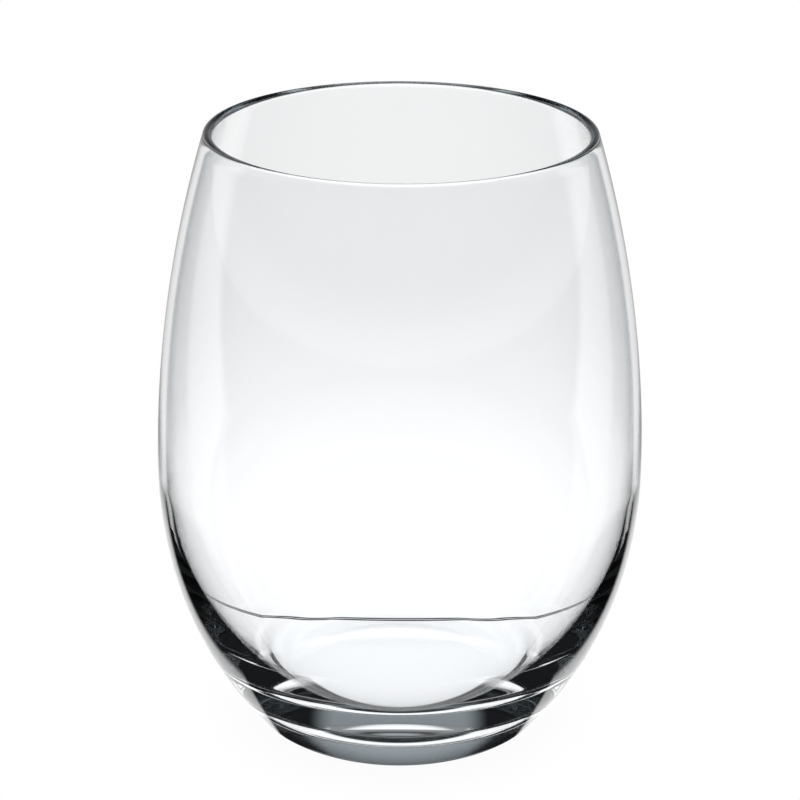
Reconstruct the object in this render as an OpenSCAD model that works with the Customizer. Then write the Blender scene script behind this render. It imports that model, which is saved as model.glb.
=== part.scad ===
// Stemless wine glass: one tumbler-like bowl that narrows to the rim and stands on its own thick base.
// The glass is a body of revolution about Z. Z = 0 is the table, the axis passes through the origin.
// All lengths are in millimetres. Every stretch of the outline is a true arc, tangent to the next one.

/* [Outside] */
// Height from the table to the top of the rim
glass_h = 112.3; // [95:0.1:130]
// Radius of the bowl at its widest, the belly
belly_r = 44; // [38:0.1:50]
// Height of the belly above the table
belly_z = 48.1; // [42:0.1:56]
// Radius of the long curve that rises from the belly to the rim
upper_curve_r = 216.2; // [180:0.1:300]
// Radius of the curve that falls from the belly to the heel
lower_curve_r = 73; // [64:0.1:84]
// Radius of the rounded heel, where the side turns under to the foot
heel_r = 8.6; // [6:0.1:11]

/* [Inside] */
// Thickness of the wall at the rim, which is rounded over to a full half round
rim_wall = 1.65; // [1.2:0.05:2.2]
// Thickness of the wall at the widest point of the inside
belly_wall = 1.5; // [1.3:0.05:2.2]
// Height of the widest point of the inside above the table
inner_belly_z = 50; // [47:0.1:53]
// Radius of the inside curve that falls from the belly, nearly even with the outside
inner_curve_r = 72; // [66:0.1:78]
// Height above the table where the inside turns in from the even wall towards the floor
turn_z = 43; // [38:0.1:47]
// Radius of the inside curve from the turn down to the corner of the floor
turn_r = 55.5; // [48:0.1:62]
// Radius of the inside corner between that curve and the floor
floor_corner_r = 12; // [8:0.1:16]
// Thickness of the base under the middle of the floor
floor_t = 7.45; // [6:0.05:9]

/* [Foot] */
// Width of the flat ring that the glass stands on
foot_w = 3; // [2:0.1:5]
// Depth of the shallow hollow under the base, inside the foot ring
punt_d = 0.7; // [0.3:0.05:1.2]

/* [Zones] */
// Height of the rim zone, from the top of the glass down
rim_h = 5; // [3:0.1:9]
// Rise of the base zone above the floor, up the side of the bowl
base_rise = 6; // [4:0.1:9]

/* [Colour] */
// Red, green, blue and opacity of the clear glass
glass_colour = [0.82, 0.90, 0.92, 0.45];

/* [Hidden] */

// Smoothness of the preview
$fn = 240;

// Outside: centres of the three arcs, and the height where the heel meets the side
upper_x = belly_r - upper_curve_r;
lower_x = belly_r - lower_curve_r;
heel_angle = asin((belly_z - heel_r) / (lower_curve_r - heel_r));
heel_x = lower_x + (lower_curve_r - heel_r) * cos(heel_angle);
heel_top_z = belly_z - lower_curve_r * sin(heel_angle);

// Rim: the centre of a half round that touches the outside and the inside curves
lip_r = rim_wall / 2;
lip_z = glass_h - lip_r;
lip_x = upper_x + sqrt(pow(upper_curve_r - lip_r, 2) - pow(lip_z - belly_z, 2));

// Inside: the upper curve leaves the rim and is upright at the inner belly
inner_belly_r = belly_r - belly_wall;
lip_in = inner_belly_r - lip_x;
lip_up = lip_z - inner_belly_z;
inner_upper_r = (lip_in * lip_in + lip_up * lip_up - lip_r * lip_r) / (2 * (lip_r + lip_in));
inner_upper_x = inner_belly_r - inner_upper_r;

// Rim: the slope of the wall there, between that of the outside and that of the inside
lip_slope_out = asin((lip_z - belly_z) / (upper_curve_r - lip_r));
lip_slope_in = asin(lip_up / (inner_upper_r + lip_r));
lip_slope = (lip_slope_out + lip_slope_in) / 2;

// Inside: the lower curve, the turn and the corner of the floor
inner_lower_x = inner_belly_r - inner_curve_r;
turn_angle = asin((inner_belly_z - turn_z) / inner_curve_r);
turn_x = inner_lower_x + (inner_curve_r - turn_r) * cos(turn_angle);
turn_mid_z = inner_belly_z - (inner_curve_r - turn_r) * sin(turn_angle);
corner_z = floor_t + floor_corner_r;
corner_angle = asin((turn_mid_z - corner_z) / (turn_r - floor_corner_r));
corner_x = turn_x + (turn_r - floor_corner_r) * cos(corner_angle);
corner_top_z = turn_mid_z - turn_r * sin(corner_angle);

// Foot: the ring ends where the heel begins, and the hollow under the base is part of a ball
punt_r = heel_x - foot_w;
punt_ball_r = (punt_r * punt_r + punt_d * punt_d) / (2 * punt_d);

// Zones: heights at which one zone of the glass meets the next
base_top_z = floor_t + base_rise;
rim_base_z = glass_h - rim_h;

// A radius that reaches past the glass, and a length that reaches past its foot from the rim
reach = belly_r + heel_r;
below = 2 * glass_h;

// How far a smaller arc stands proud of the larger one that it runs into, so that the two cross cleanly
blend = 0.003;

// Disc about a point of the half outline
module disc(x, z, r) {
    translate([x, z]) circle(r = r);
}

// Half of a slab between two heights
module slab(low, high) {
    translate([0, low]) square([reach, high - low]);
}

// Everything above a height, and between the foot and that height only what a smaller arc leaves
module rounded_below(x, z, r, foot, top) {
    slab(top, glass_h);
    intersection() {
        union() {
            disc(x, z, r);
            if (x > 0) translate([0, foot]) square([x, top - foot]);
        }
        slab(foot, top);
    }
}

// Half outline of the solid shape, as if the bowl were full
module outside_half() {
    intersection() {
        disc(upper_x, belly_z, upper_curve_r);
        rounded_below(lower_x, belly_z, lower_curve_r + blend, 0, belly_z);
        rounded_below(heel_x, heel_r, heel_r + 2 * blend, 0, heel_top_z);
    }
}

// Half outline of the hollow, open at the top
module hollow_half() {
    intersection() {
        disc(inner_upper_x, inner_belly_z, inner_upper_r);
        rounded_below(inner_lower_x, inner_belly_z, inner_curve_r + blend, floor_t, inner_belly_z);
        rounded_below(turn_x, turn_mid_z, turn_r + 2 * blend, floor_t, turn_z);
        rounded_below(corner_x, corner_z, floor_corner_r + 3 * blend, floor_t, corner_top_z);
    }
}

// Half outline of the hollow under the base
module punt_half() {
    intersection() {
        disc(0, punt_d - punt_ball_r, punt_ball_r);
        slab(0, punt_d);
    }
}

// What the half round of the lip leaves of the wall: the lip, and all that lies below its centre line
module below_lip() {
    disc(lip_x, lip_z, lip_r + blend);
    translate([lip_x, lip_z]) rotate(lip_slope) translate([-below, -below]) square([2 * below, below]);
}

// Half outline of the wall of the glass between two heights
module wall_half(low, high) {
    intersection() {
        difference() {
            outside_half();
            hollow_half();
            punt_half();
        }
        below_lip();
        slab(low, high);
    }
}

// One zone of the glass, turned about the axis
module zone(low, high) {
    color(glass_colour) rotate_extrude() wall_half(low, high);
}

// Lip and the top of the wall under it
module rim() {
    zone(rim_base_z, glass_h);
}

// Wall from the belly up to the rim
module upper_bowl() {
    zone(belly_z, rim_base_z);
}

// Wall from the base up to the belly, thicker towards the base
module lower_bowl() {
    zone(base_top_z, belly_z);
}

// Heavy base with the floor of the bowl, the heel, the foot ring and the hollow under it
module base() {
    zone(0, base_top_z);
}

rim();
upper_bowl();
lower_bowl();
base();
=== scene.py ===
"""Stemless wine glass: a turned bowl of clear glass on a pale studio table, seen from a little above."""

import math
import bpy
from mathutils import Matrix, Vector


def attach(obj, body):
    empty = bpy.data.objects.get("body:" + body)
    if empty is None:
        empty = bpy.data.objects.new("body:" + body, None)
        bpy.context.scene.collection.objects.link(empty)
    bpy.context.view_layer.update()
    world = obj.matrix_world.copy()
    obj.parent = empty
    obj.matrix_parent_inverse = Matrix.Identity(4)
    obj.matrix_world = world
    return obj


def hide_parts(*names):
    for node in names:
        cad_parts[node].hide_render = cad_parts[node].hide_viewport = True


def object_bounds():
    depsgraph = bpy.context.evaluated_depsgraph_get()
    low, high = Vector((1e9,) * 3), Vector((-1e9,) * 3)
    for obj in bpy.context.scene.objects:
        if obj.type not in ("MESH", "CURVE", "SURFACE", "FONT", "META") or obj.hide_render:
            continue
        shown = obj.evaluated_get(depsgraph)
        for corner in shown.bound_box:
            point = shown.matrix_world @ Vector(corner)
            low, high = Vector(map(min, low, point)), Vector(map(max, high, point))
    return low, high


bl_info = {
    "name": "Stemless wine glass",
    "version": (1, 0, 0),
    "blender": (4, 5, 0),
    "location": "3D View > Sidebar > Wine glass",
    "description": "Turns a clear stemless wine glass and sets the studio table and the camera for it",
    "category": "Object",
}

import bmesh
import bpy
from bpy.props import FloatProperty, FloatVectorProperty, IntProperty, PointerProperty
from mathutils import Quaternion, Vector

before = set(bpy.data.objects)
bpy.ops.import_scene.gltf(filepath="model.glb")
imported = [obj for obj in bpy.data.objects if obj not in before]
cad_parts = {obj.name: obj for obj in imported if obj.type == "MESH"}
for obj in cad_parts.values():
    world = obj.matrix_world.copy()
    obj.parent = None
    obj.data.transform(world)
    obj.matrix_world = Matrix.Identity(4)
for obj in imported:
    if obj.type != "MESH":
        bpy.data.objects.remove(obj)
CAD_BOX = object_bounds()

MM = 0.001
ZONES = ("rim", "upper_bowl", "lower_bowl", "base")
WHITE = (1, 1, 1)

# Straight pieces in each arc of the outline
PUNT_STEPS = 16
HEEL_STEPS = 24
LOWER_STEPS = 40
UPPER_STEPS = 36
LIP_STEPS = 16
INNER_STEPS = 24
CORNER_STEPS = 32

# Height over which the scuffs of the foot ring end, and the part of the noise that makes a scuff
FOOT_WORN = (0.05 * MM, 0.3 * MM)
SCUFFED = (0.5, 0.65)

# Gap between the foot and the table, so that the two don't share a surface
TABLE_GAP = 0.1 * MM

# Distances on the table over which what the glass shows of it fades
SEAM_END = (44 * MM, 50 * MM)
# The next three place the dark arc of painted shade in front of the foot
ARC_SHADE_INNER = (20.5 * MM, 22 * MM)
ARC_SHADE_OUTER = (26 * MM, 28 * MM)
ARC_SHADE_FRONT = (-14 * MM, -8 * MM)
WIDENING = (45 * MM, 110 * MM)
FAR_BACK = (80 * MM, 130 * MM)
MIRROR_FADE = (90 * MM, 160 * MM)
LIT_EDGE = 1 * MM

# Rise of a direction, from 0 at the horizon to 1 overhead, over which the sky fades
SKY_HORIZON = (0.0, 0.15)
SKY_RISE = (0.1, 0.25)
SKY_FALL = (0.64, 0.85)
SKY_LEVEL = (0.34, 0.6)
SKY_MIRROR = (0.1, 0.5)
SKY_TABLE = (0.12, 0.3)

# Angle from the back over which the glow in front begins
FRONT_SECTOR = (math.radians(115), math.radians(135))

# Softness of an edge, as a part of its place
PATCH_SPREAD = 0.15
BACK_SPREAD = 0.2
GLOW_SPREAD = 0.25

# Shadow under the glass, in radii of the foot
SHADOW_INNER = 0.8
SHADOW_OUTER = 1.9

# Numbers of turns inside the glass that part straight, turned, lost and guided rays
TURN_LIMITS = (0.5, 8.5, 24.5)

# The frame gives the height and the belly of the glass
FRAME_HEIGHT = CAD_BOX[1][2] - CAD_BOX[0][2]
FRAME_BELLY = (CAD_BOX[1][0] - CAD_BOX[0][0]) / 2


def length(label, text, default):
    """A length in metres that a user may change."""
    return FloatProperty(name=label, description=text, default=default, min=0.0, precision=5,
                         subtype="DISTANCE", unit="LENGTH")


def number(label, text, default, low=0.0, high=10.0):
    """A plain number that a user may change."""
    return FloatProperty(name=label, description=text, default=default, min=low, max=high, precision=4)


def angle(label, text, degrees):
    """An angle that a user may change, given here in degrees."""
    return FloatProperty(name=label, description=text, default=math.radians(degrees), subtype="ANGLE",
                         unit="ROTATION")


def colour(label, text, default):
    """A colour that a user may change."""
    return FloatVectorProperty(name=label, description=text, default=default, size=3, min=0.0, max=1.0,
                               subtype="COLOR")


class GlassSizes(bpy.types.PropertyGroup):
    """Sizes of the outline that is turned to make the glass."""

    glass_h: length("Height", "From the table to the top of the rim", FRAME_HEIGHT)
    belly_r: length("Belly radius", "Radius of the bowl at its widest", FRAME_BELLY)
    belly_z: length("Belly height", "Height of the widest point of the outside", 48.1 * MM)
    upper_curve_r: length("Upper curve", "Radius of the long curve from the belly to the rim", 216.2 * MM)
    lower_curve_r: length("Lower curve", "Radius of the curve from the belly to the heel", 73 * MM)
    heel_r: length("Heel", "Radius of the rounded heel", 8.6 * MM)
    rim_wall: length("Rim wall", "Thickness of the wall at the rim", 1.65 * MM)
    belly_wall: length("Belly wall", "Thickness of the wall at the belly", 1.5 * MM)
    inner_belly_z: length("Inner belly height", "Height of the widest point of the inside", 50 * MM)
    inner_curve_r: length("Inner curve", "Radius of the inside from the belly down to the turn", 72 * MM)
    turn_z: length("Turn height", "Height where the inside turns in from the wall to the floor", 43 * MM)
    turn_r: length("Turn", "Radius of the inside from the turn to the corner of the floor", 55.5 * MM)
    floor_corner_r: length("Floor corner", "Radius between the turn and the floor", 12 * MM)
    floor_t: length("Floor thickness", "Thickness of the base under the floor", 7.45 * MM)
    foot_w: length("Foot ring", "Width of the flat ring that the glass stands on", 3 * MM)
    punt_d: length("Punt depth", "Depth of the shallow hollow under the base", 0.7 * MM)
    turn_steps: IntProperty(name="Turn steps", description="Faces round the glass", default=224, min=48)


class GlassFinish(bpy.types.PropertyGroup):
    """Look of the glass."""

    wall_tint: colour("Wall tint", "Colour of the thin wall", (0.988, 0.994, 1.0))
    base_tint: colour("Base tint", "Colour of the thick base", (0.975, 0.988, 1.0))
    depth_tint: colour("Depth tint", "Colour that light takes on its way through the glass", (0.78, 0.9, 1.0))
    depth_density: number("Depth density", "How fast light takes the depth tint, per metre", 1.5, 0, 50)
    ior: number("Index of refraction", "Bending power of soda-lime glass", 1.52, 1, 3)
    scuff_scale: number("Scuff scale", "How fine the scuffs of the foot ring are", 900, 1, 5000)
    ripple_scale: number("Ripple scale", "How fine the ripple of the wall is", 28, 1, 500)
    ripple_h: length("Ripple height", "Height of the ripple at full strength", 1 * MM)
    wave: number("Wave", "Strength of the slow ripple that forming leaves in the wall", 0.004, 0, 1)
    wear: number("Foot wear", "Roughness of the scuffed foot ring", 0.12, 0, 1)


class StudioLook(bpy.types.PropertyGroup):
    """White table, lit from behind between two dark sides, that the glass bends and mirrors."""

    table_near: number("Table near", "Brightness of the table close to the glass", 1.25)
    table_far: number("Table far", "Brightness of the table far from the glass", 0.96)
    near_r: length("Near radius", "Where the table begins to fade", 0.01)
    far_r: length("Far radius", "Where the table has faded", 0.27)
    mirrored: number("Mirrored near", "Brightness of the near table as the glass mirrors it", 1.4)
    mirrored_far: number("Mirrored far", "Brightness of the far table as the glass mirrors it", 0.5)
    dark: number("Dark sides", "Brightness of the studio beside the light, close to the glass", 0.01)
    guided: number("Guided light", "Brightness at the end of the rays that the wall guides along", 0.55)
    turned_far: number("Far back", "Brightness of the far back of the table, seen in the base", 0.3)
    back_half: angle("Far back half angle", "Half of the sector that this far back covers", 20)
    side: number("Far sides", "Brightness of the studio beside the light, far from the glass", 0.4)
    lit_half: length("Lit half width", "Half of the width of the lit table, close to the glass", 31 * MM)
    mirror_half: length("Far half width", "That half width far off, and as the glass mirrors it", 50 * MM)
    lit_slope: number("Lit slope", "How fast the lit table widens to the back", 0.62)
    lit_soft: number("Lit softness", "Width of the edge of the lit table, as a part of the way to it", 0.12)
    lit_front: length("Lit front", "How far the lit table reaches in front of the axis", 20.5 * MM)
    mirror_front: length("Mirrored front", "That reach as the outside of the glass mirrors it", 14.5 * MM)
    dark_y: length("Dark patch place", "Distance of the middle of the dark patch behind the axis", 40 * MM)
    dark_r: length("Dark patch radius", "Radius of the dark patch that the lit table cuts through", 130 * MM)
    seam_y: length("Seam place", "Distance of the table's back seam behind the axis", 20.15 * MM)
    seam_w: length("Seam width", "Width of the two dark edges of the seam, together", 1.7 * MM)
    seam_depth: number("Seam depth", "How dark the edges of the seam are", 0.98, 0, 1)
    # Painted shade: the dark arc in front of the foot, drawn on the table and seen only through the glass
    arc: number("Front arc", "Brightness of the dark arc in front of the foot", 0.2)
    horizon: number("Horizon", "Brightness of the backdrop at the horizon", 0.92)
    glow_low: number("Low back glow", "Brightness of the backdrop behind the glass, above the horizon", 0.42)
    glow: number("Back glow", "Brightness of the backdrop behind the glass, part way up", 0.24)
    glow_front: number("Front glow", "Brightness of the studio in front of the glass", 0.1)
    glow_half: angle("Back glow half angle", "Half of the sector that the back glow covers", 26)
    glow_tint: colour("Back glow tint", "Colour of the back glow", (0.86, 0.95, 1.0))
    shadow: number("Shadow", "Strength of the soft shadow under the glass", 0.04, 0, 1)
    table_size: length("Table size", "Half of the side of the table", 3.0)
    bounces: IntProperty(name="Bounces", description="How often a ray may turn before it is lost",
                         default=64, min=8)


class PhotoView(bpy.types.PropertyGroup):
    """Camera that matches the photograph."""

    distance: length("Distance", "From the aim point to the camera", 0.430)
    elevation: angle("Elevation", "Height of the camera above the horizon", 21.673)
    aim_z: length("Aim height", "Height of the aim point on the axis", 61.7 * MM)
    roll: angle("Roll", "Turn of the camera about its line of sight", 0.27)
    sensor: FloatProperty(name="Sensor", description="Width of the sensor", default=36.0, min=1.0,
                          unit="CAMERA")
    lens: FloatProperty(name="Lens", description="Focal length", default=106.79, min=1.0, unit="CAMERA")


class WineGlassSettings(bpy.types.PropertyGroup):
    """All settings of the wine glass and its stage."""

    sizes: PointerProperty(type=GlassSizes)
    finish: PointerProperty(type=GlassFinish)
    studio: PointerProperty(type=StudioLook)
    view: PointerProperty(type=PhotoView)


# Drawing and turning the outline

def draw_line(mesh, start, x, z):
    """Draw a straight stretch from the outline's last vertex and return its end."""
    end = bmesh.ops.extrude_vert_indiv(mesh, verts=[start])["verts"][0]
    bmesh.ops.translate(mesh, verts=[end], vec=Vector((x, 0, z)) - start.co)
    return end


def draw_arc(mesh, start, x, z, sweep, steps):
    """Turn the outline's last vertex about a centre, which leaves an arc, and return its end."""
    turned = bmesh.ops.spin(mesh, geom=[start], cent=(x, 0, z), axis=(0, -1, 0), angle=sweep, steps=steps)
    return turned["geom_last"][0]


def draw_outline(mesh, s):
    """Draw half of the section of the glass, from the middle of the foot over the rim to the floor."""
    lower_x = s.belly_r - s.lower_curve_r
    upper_x = s.belly_r - s.upper_curve_r
    heel_angle = math.asin((s.belly_z - s.heel_r) / (s.lower_curve_r - s.heel_r))
    heel_x = lower_x + (s.lower_curve_r - s.heel_r) * math.cos(heel_angle)

    lip_r = s.rim_wall / 2
    lip_z = s.glass_h - lip_r
    lip_x = upper_x + math.sqrt((s.upper_curve_r - lip_r) ** 2 - (lip_z - s.belly_z) ** 2)
    slope_out = math.asin((lip_z - s.belly_z) / (s.upper_curve_r - lip_r))

    inner_belly_r = s.belly_r - s.belly_wall
    lip_in = inner_belly_r - lip_x
    lip_up = lip_z - s.inner_belly_z
    inner_upper_r = (lip_in ** 2 + lip_up ** 2 - lip_r ** 2) / (2 * (lip_r + lip_in))
    slope_in = math.asin(lip_up / (inner_upper_r + lip_r))

    inner_lower_x = inner_belly_r - s.inner_curve_r
    turn_angle = math.asin((s.inner_belly_z - s.turn_z) / s.inner_curve_r)
    turn_arm = s.inner_curve_r - s.turn_r
    turn_x = inner_lower_x + turn_arm * math.cos(turn_angle)
    turn_mid_z = s.inner_belly_z - turn_arm * math.sin(turn_angle)
    corner_z = s.floor_t + s.floor_corner_r
    corner_arm = s.turn_r - s.floor_corner_r
    corner_angle = math.asin((turn_mid_z - corner_z) / corner_arm)
    corner_x = turn_x + corner_arm * math.cos(corner_angle)

    punt_r = heel_x - s.foot_w
    punt_ball_r = (punt_r ** 2 + s.punt_d ** 2) / (2 * s.punt_d)

    right = math.pi / 2
    end = mesh.verts.new((0, 0, s.punt_d))
    end = draw_arc(mesh, end, 0, s.punt_d - punt_ball_r, -math.asin(punt_r / punt_ball_r), PUNT_STEPS)
    end = draw_line(mesh, end, heel_x, 0)
    end = draw_arc(mesh, end, heel_x, s.heel_r, right - heel_angle, HEEL_STEPS)
    end = draw_arc(mesh, end, lower_x, s.belly_z, heel_angle, LOWER_STEPS)
    end = draw_arc(mesh, end, upper_x, s.belly_z, slope_out, UPPER_STEPS)
    end = draw_arc(mesh, end, lip_x, lip_z, math.pi + slope_in - slope_out, LIP_STEPS)
    end = draw_arc(mesh, end, inner_belly_r - inner_upper_r, s.inner_belly_z, -slope_in, UPPER_STEPS)
    end = draw_arc(mesh, end, inner_lower_x, s.inner_belly_z, -turn_angle, INNER_STEPS)
    end = draw_arc(mesh, end, turn_x, turn_mid_z, turn_angle - corner_angle, INNER_STEPS)
    end = draw_arc(mesh, end, corner_x, corner_z, corner_angle - right, CORNER_STEPS)
    draw_line(mesh, end, 0, s.floor_t)


def turn_glass(s):
    """Turn the outline about the axis and return the closed mesh of the glass."""
    mesh = bmesh.new()
    draw_outline(mesh, s)
    outline = list(mesh.verts) + list(mesh.edges)
    bmesh.ops.spin(mesh, geom=outline, cent=(0, 0, 0), axis=(0, 0, 1), angle=2 * math.pi,
                   steps=s.turn_steps, use_merge=True)
    bmesh.ops.remove_doubles(mesh, verts=mesh.verts, dist=1e-6)
    bmesh.ops.recalc_face_normals(mesh, faces=mesh.faces)
    for face in mesh.faces:
        face.smooth = True
    data = bpy.data.meshes.new("wine_glass")
    mesh.to_mesh(data)
    mesh.free()
    return data


# Helpers for shader trees

class Tree:
    """A node tree with short ways to add the few nodes that the materials here use."""

    def __init__(self, owner):
        owner.use_nodes = True
        self.tree = owner.node_tree
        self.tree.nodes.clear()

    def add(self, kind, **values):
        node = self.tree.nodes.new(kind)
        for name, value in values.items():
            setattr(node, name, value)
        return node

    def feed(self, socket, value):
        """Link an output to a socket, or set the socket to a plain value."""
        if isinstance(value, bpy.types.NodeSocket):
            self.tree.links.new(value, socket)
        else:
            socket.default_value = value

    def math(self, operation, *terms):
        node = self.add("ShaderNodeMath", operation=operation)
        for socket, term in zip(node.inputs, terms):
            self.feed(socket, term)
        return node.outputs[0]

    def fade(self, value, start, stop, first, last):
        """A smooth step from first to last while value goes from start to stop."""
        node = self.add("ShaderNodeMapRange", interpolation_type="SMOOTHSTEP")
        for name, term in (("Value", value), ("From Min", start), ("From Max", stop),
                           ("To Min", first), ("To Max", last)):
            self.feed(node.inputs[name], term)
        return node.outputs["Result"]

    def fade_at(self, value, place, spread, first, last):
        """That smooth step about a place, as wide to either side as a part of the place."""
        return self.fade(value, (1 - spread) * place, (1 + spread) * place, first, last)

    def mix(self, factor, first, last):
        """A number between two numbers."""
        node = self.add("ShaderNodeMix", data_type="FLOAT")
        for socket, term in zip((node.inputs[0], node.inputs[2], node.inputs[3]), (factor, first, last)):
            self.feed(socket, term)
        return node.outputs[0]

    def tint(self, factor, first, last):
        """A colour between two colours."""
        node = self.add("ShaderNodeMix", data_type="RGBA")
        self.feed(node.inputs["Factor"], factor)
        for socket, term in zip((node.inputs[6], node.inputs[7]), (first, last)):
            self.feed(socket, term if isinstance(term, bpy.types.NodeSocket) else (*term, 1.0))
        return node.outputs[2]

    def axes(self, coordinates):
        """The three numbers of Object or Generated coordinates."""
        place = self.add("ShaderNodeTexCoord")
        split = self.add("ShaderNodeSeparateXYZ")
        self.feed(split.inputs[0], place.outputs[coordinates])
        return split.outputs["X"], split.outputs["Y"], split.outputs["Z"]

    def noise(self, scale, detail):
        """Noise over Object coordinates, about 0.5."""
        place = self.add("ShaderNodeTexCoord")
        node = self.add("ShaderNodeTexNoise")
        self.feed(node.inputs["Vector"], place.outputs["Object"])
        node.inputs["Scale"].default_value = scale
        node.inputs["Detail"].default_value = detail
        return node.outputs[0]

    def radius(self, x, y):
        squares = self.math("ADD", self.math("MULTIPLY", x, x), self.math("MULTIPLY", y, y))
        return self.math("SQRT", squares)

    def back_angle(self, x, y):
        """Angle from the Y axis, either way, from 0 behind the glass to a half turn in front of it."""
        return self.math("ARCTAN2", self.math("ABSOLUTE", x), y)

    def after_turns(self, turns, straight, *others):
        """A number by how often the glass has turned a ray: never, sometimes, often, all along a wall."""
        for count, other in zip(TURN_LIMITS, others):
            straight = self.mix(self.math("GREATER_THAN", turns, count), straight, other)
        return straight

    def times(self, first, *others):
        for other in others:
            first = self.math("MULTIPLY", first, other)
        return first


# Materials

def clear_glass(finish, sizes):
    """Clear glass, a touch bluer where it is thick, with a slow ripple and a scuffed foot ring."""
    material = bpy.data.materials.new("clear_glass")
    t = Tree(material)
    out = t.add("ShaderNodeOutputMaterial")
    shader = t.add("ShaderNodeBsdfPrincipled")
    t.feed(out.inputs["Surface"], shader.outputs[0])
    z = t.axes("Object")[2]

    thick = t.fade(z, sizes.floor_t, 3 * sizes.floor_t, 1.0, 0.0)
    t.feed(shader.inputs["Base Color"], t.tint(thick, finish.wall_tint, finish.base_tint))

    scuffs = t.fade(t.noise(finish.scuff_scale, detail=3), *SCUFFED, 0.0, finish.wear)
    t.feed(shader.inputs["Roughness"], t.times(t.fade(z, *FOOT_WORN, 1.0, 0.0), scuffs))

    bump = t.add("ShaderNodeBump")
    bump.inputs["Strength"].default_value = finish.wave
    bump.inputs["Distance"].default_value = finish.ripple_h
    t.feed(bump.inputs["Height"], t.noise(finish.ripple_scale, detail=1))
    t.feed(shader.inputs["Normal"], bump.outputs[0])

    shader.inputs["IOR"].default_value = finish.ior
    shader.inputs["Transmission Weight"].default_value = 1.0
    depth = t.add("ShaderNodeVolumeAbsorption")
    depth.inputs["Color"].default_value = (*finish.depth_tint, 1.0)
    depth.inputs["Density"].default_value = finish.depth_density
    t.feed(out.inputs["Volume"], depth.outputs[0])
    return material


def lit_part(t, studio, spot, half, front):
    """The part of the table that the light reaches, from 0 to 1."""
    x, y, radius = spot
    edge_x = t.math("MULTIPLY_ADD", y, studio.lit_slope, half)
    room = t.math("DIVIDE", t.math("SUBTRACT", edge_x, t.math("ABSOLUTE", x)), radius)
    between = t.fade(room, -studio.lit_soft / 2, studio.lit_soft / 2, 0.0, 1.0)
    return t.times(between, t.fade(y, -front - LIT_EDGE, -front + LIT_EDGE, 0.0, 1.0))


def with_seam(t, studio, spot, brightness):
    """Draw the two dark edges of the table's back seam into its brightness."""
    x, y, _ = spot
    end = t.fade(t.math("ABSOLUTE", x), *SEAM_END, 1.0, 0.0)
    for side in (-1, 1):
        off = t.math("ABSOLUTE", t.math("SUBTRACT", y, studio.seam_y + side * studio.seam_w / 4))
        edge = t.fade(off, studio.seam_w / 8, studio.seam_w / 4, studio.seam_depth, 0.0)
        brightness = t.times(brightness, t.math("SUBTRACT", 1.0, t.times(edge, end)))
    return brightness


def with_painted_front_shadow(t, studio, spot, brightness):
    """Draw the dark arc of painted shade in front of the foot into the table's brightness."""
    _, y, radius = spot
    band = t.times(t.fade(radius, *ARC_SHADE_INNER, 0.0, 1.0), t.fade(radius, *ARC_SHADE_OUTER, 1.0, 0.0))
    return t.mix(t.times(band, t.fade(y, *ARC_SHADE_FRONT, 1.0, 0.0)), brightness, studio.arc)


def table_material(studio, foot_r):
    """White table with a soft shadow. The glass also bends its fade, its dark sides and its seam."""
    material = bpy.data.materials.new("studio_table")
    t = Tree(material)
    out = t.add("ShaderNodeOutputMaterial")
    glow = t.add("ShaderNodeEmission")
    t.feed(out.inputs["Surface"], glow.outputs[0])
    x, y, _ = t.axes("Object")
    radius = t.radius(x, y)
    spot = (x, y, radius)

    # Straight through the glass: the whole table, brighter near the glass, with its seam and a dark arc of
    # painted shade in front of the foot
    even = t.fade(radius, studio.near_r, studio.far_r, studio.table_near, studio.table_far)
    even = with_seam(t, studio, spot, even)
    through = with_painted_front_shadow(t, studio, spot, even)

    # After a few turns inside the glass: the lit part of it, between dark sides
    dark_radius = t.radius(x, t.math("SUBTRACT", y, studio.dark_y))
    beside = t.fade_at(dark_radius, studio.dark_r, PATCH_SPREAD, studio.dark, studio.side)
    half = t.fade(radius, *WIDENING, studio.lit_half, studio.mirror_half)
    turned_lit = lit_part(t, studio, spot, half, studio.lit_front)
    back = t.fade_at(t.back_angle(x, y), studio.back_half, BACK_SPREAD, 1.0, 0.0)
    far_back = t.times(back, t.fade(radius, *FAR_BACK, 0.0, 1.0))
    turned = t.mix(far_back, t.mix(turned_lit, beside, even), studio.turned_far)

    # Mirrored by the glass: a lit part of its own, dim far off
    mirrored = t.fade(radius, *MIRROR_FADE, studio.mirrored, studio.mirrored_far)
    mirrored_lit = lit_part(t, studio, spot, studio.mirror_half, studio.mirror_front)
    mirrored = t.mix(mirrored_lit, beside, mirrored)

    # For the camera: plain white with the shadow
    plain = t.fade(radius, SHADOW_INNER * foot_r, SHADOW_OUTER * foot_r, 1.0 - studio.shadow, 1.0)

    path = t.add("ShaderNodeLightPath")
    bent_ray = path.outputs["Is Transmission Ray"]
    turns = path.outputs["Glossy Depth"]
    bent = t.after_turns(turns, through, turned, studio.dark, studio.guided)
    seen = t.mix(bent_ray, mirrored, bent)
    t.feed(glow.inputs["Strength"], t.mix(path.outputs["Is Camera Ray"], seen, plain))
    turned_ray = t.math("GREATER_THAN", turns, TURN_LIMITS[0])
    blue = t.times(turned_ray, bent_ray, t.math("SUBTRACT", 1.0, turned_lit))
    t.feed(glow.inputs["Color"], t.tint(blue, WHITE, studio.glow_tint))
    return material


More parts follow.
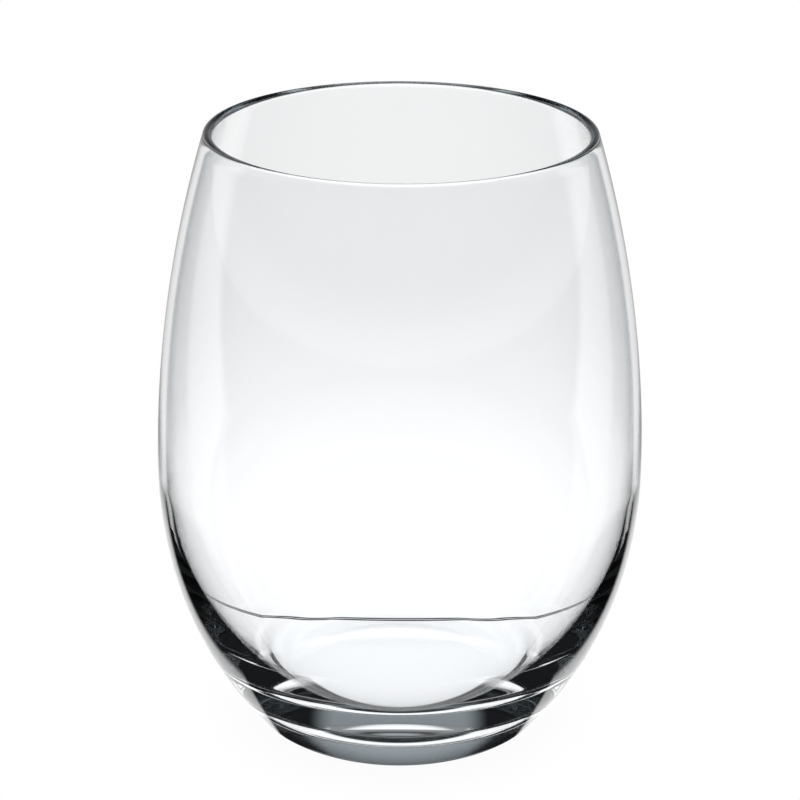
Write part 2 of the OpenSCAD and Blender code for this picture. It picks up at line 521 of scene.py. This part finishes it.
def studio_world(studio):
    """White surroundings for the camera. The glass sees a horizon, a glow behind it and a dark studio."""
    world = bpy.data.worlds.new("studio")
    t = Tree(world)
    out = t.add("ShaderNodeOutputWorld")
    sky = t.add("ShaderNodeBackground")
    t.feed(out.inputs["Surface"], sky.outputs[0])
    x, y, z = t.axes("Generated")
    turn = t.back_angle(x, y)

    # After a few turns inside the glass: the horizon, the glow behind the glass and the faint one in front
    low = t.fade_at(turn, studio.back_half, BACK_SPREAD, studio.turned_far, studio.horizon)
    horizon = t.fade(z, *SKY_HORIZON, low, 0.0)
    sector = t.fade_at(turn, studio.glow_half, GLOW_SPREAD, 1.0, 0.0)
    front = t.fade(turn, *FRONT_SECTOR, 0.0, studio.glow_front)
    rise = t.fade(z, *SKY_RISE, 0.0, 1.0)
    fall = t.fade(z, *SKY_FALL, 1.0, 0.0)
    level = t.fade(z, *SKY_LEVEL, studio.glow_low, studio.glow)
    lights = t.math("ADD", t.times(sector, level), front)
    backdrop = t.math("ADD", t.math("MAXIMUM", horizon, studio.dark), t.times(lights, rise, fall))

    # Straight through the glass the table goes on into the sky, and the glass mirrors a dim horizon
    through = t.math("MAXIMUM", t.fade(z, *SKY_TABLE, studio.table_far, 0.0), backdrop)
    mirrored = t.fade(z, *SKY_MIRROR, studio.mirrored_far, studio.dark)

    path = t.add("ShaderNodeLightPath")
    camera = path.outputs["Is Camera Ray"]
    bent = t.after_turns(path.outputs["Glossy Depth"], through, backdrop, studio.dark)
    seen = t.mix(path.outputs["Is Transmission Ray"], mirrored, bent)
    t.feed(sky.inputs["Strength"], t.mix(camera, seen, 1.0))
    blue = t.tint(rise, WHITE, studio.glow_tint)
    t.feed(sky.inputs["Color"], t.tint(camera, blue, WHITE))
    return world


# Operators

class WINEGLASS_OT_camera(bpy.types.Operator):
    """Set the camera at the photograph's viewing angle"""

    bl_idname = "wineglass.camera"
    bl_label = "Camera"

    def execute(self, context):
        view = context.scene.wine_glass.view
        lens = bpy.data.cameras.new("camera")
        lens.sensor_width = view.sensor
        lens.lens = view.lens
        camera = bpy.data.objects.new("camera", lens)
        context.scene.collection.objects.link(camera)
        back = Vector((0, -math.cos(view.elevation), math.sin(view.elevation)))
        camera.location = Vector((0, 0, view.aim_z)) + back * view.distance
        camera.rotation_mode = "QUATERNION"
        camera.rotation_quaternion = (-back).to_track_quat("-Z", "Y") @ Quaternion((0, 0, 1), view.roll)
        context.scene.camera = camera
        return {"FINISHED"}


class WINEGLASS_OT_glass(bpy.types.Operator):
    """Turn the glass and give it its finish"""

    bl_idname = "wineglass.glass"
    bl_label = "Glass"

    def execute(self, context):
        settings = context.scene.wine_glass
        glass = bpy.data.objects.new("wine_glass", turn_glass(settings.sizes))
        context.scene.collection.objects.link(glass)
        glass.data.materials.append(clear_glass(settings.finish, settings.sizes))
        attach(glass, "root")
        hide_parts(*ZONES)
        return {"FINISHED"}


class WINEGLASS_OT_stage(bpy.types.Operator):
    """Lay the table and set the studio's light"""

    bl_idname = "wineglass.stage"
    bl_label = "Stage"

    def execute(self, context):
        settings = context.scene.wine_glass
        studio = settings.studio
        mesh = bmesh.new()
        bmesh.ops.create_grid(mesh, x_segments=1, y_segments=1, size=studio.table_size)
        data = bpy.data.meshes.new("studio_table")
        mesh.to_mesh(data)
        mesh.free()
        table = bpy.data.objects.new("studio_table", data)
        table.location.z = CAD_BOX[0][2] - TABLE_GAP
        data.materials.append(table_material(studio, settings.sizes.belly_r / 2))
        context.scene.collection.objects.link(table)
        context.scene.world = studio_world(studio)
        context.scene.view_settings.view_transform = "Standard"
        cycles = context.scene.cycles
        cycles.max_bounces = studio.bounces
        cycles.transmission_bounces = studio.bounces
        cycles.glossy_bounces = studio.bounces
        return {"FINISHED"}


class WINEGLASS_PT_sidebar(bpy.types.Panel):
    """Sizes, finish and stage of the wine glass"""

    bl_label = "Wine glass"
    bl_idname = "WINEGLASS_PT_sidebar"
    bl_space_type = "VIEW_3D"
    bl_region_type = "UI"
    bl_category = "Wine glass"

    def draw(self, context):
        settings = context.scene.wine_glass
        for operator, group in ((WINEGLASS_OT_camera, settings.view), (WINEGLASS_OT_glass, settings.sizes),
                                (WINEGLASS_OT_glass, settings.finish), (WINEGLASS_OT_stage, settings.studio)):
            box = self.layout.box()
            box.operator(operator.bl_idname)
            for name in group.bl_rna.properties.keys():
                if name not in ("rna_type", "name"):
                    box.prop(group, name)


CLASSES = (GlassSizes, GlassFinish, StudioLook, PhotoView, WineGlassSettings, WINEGLASS_OT_camera,
           WINEGLASS_OT_glass, WINEGLASS_OT_stage, WINEGLASS_PT_sidebar)


def register():
    for cls in CLASSES:
        bpy.utils.register_class(cls)
    bpy.types.Scene.wine_glass = PointerProperty(type=WineGlassSettings)


def unregister():
    del bpy.types.Scene.wine_glass
    for cls in reversed(CLASSES):
        bpy.utils.unregister_class(cls)


def main():
    register()
    bpy.ops.wineglass.camera()
    bpy.ops.wineglass.glass()
    bpy.ops.wineglass.stage()


if __name__ == "__main__":
    main()
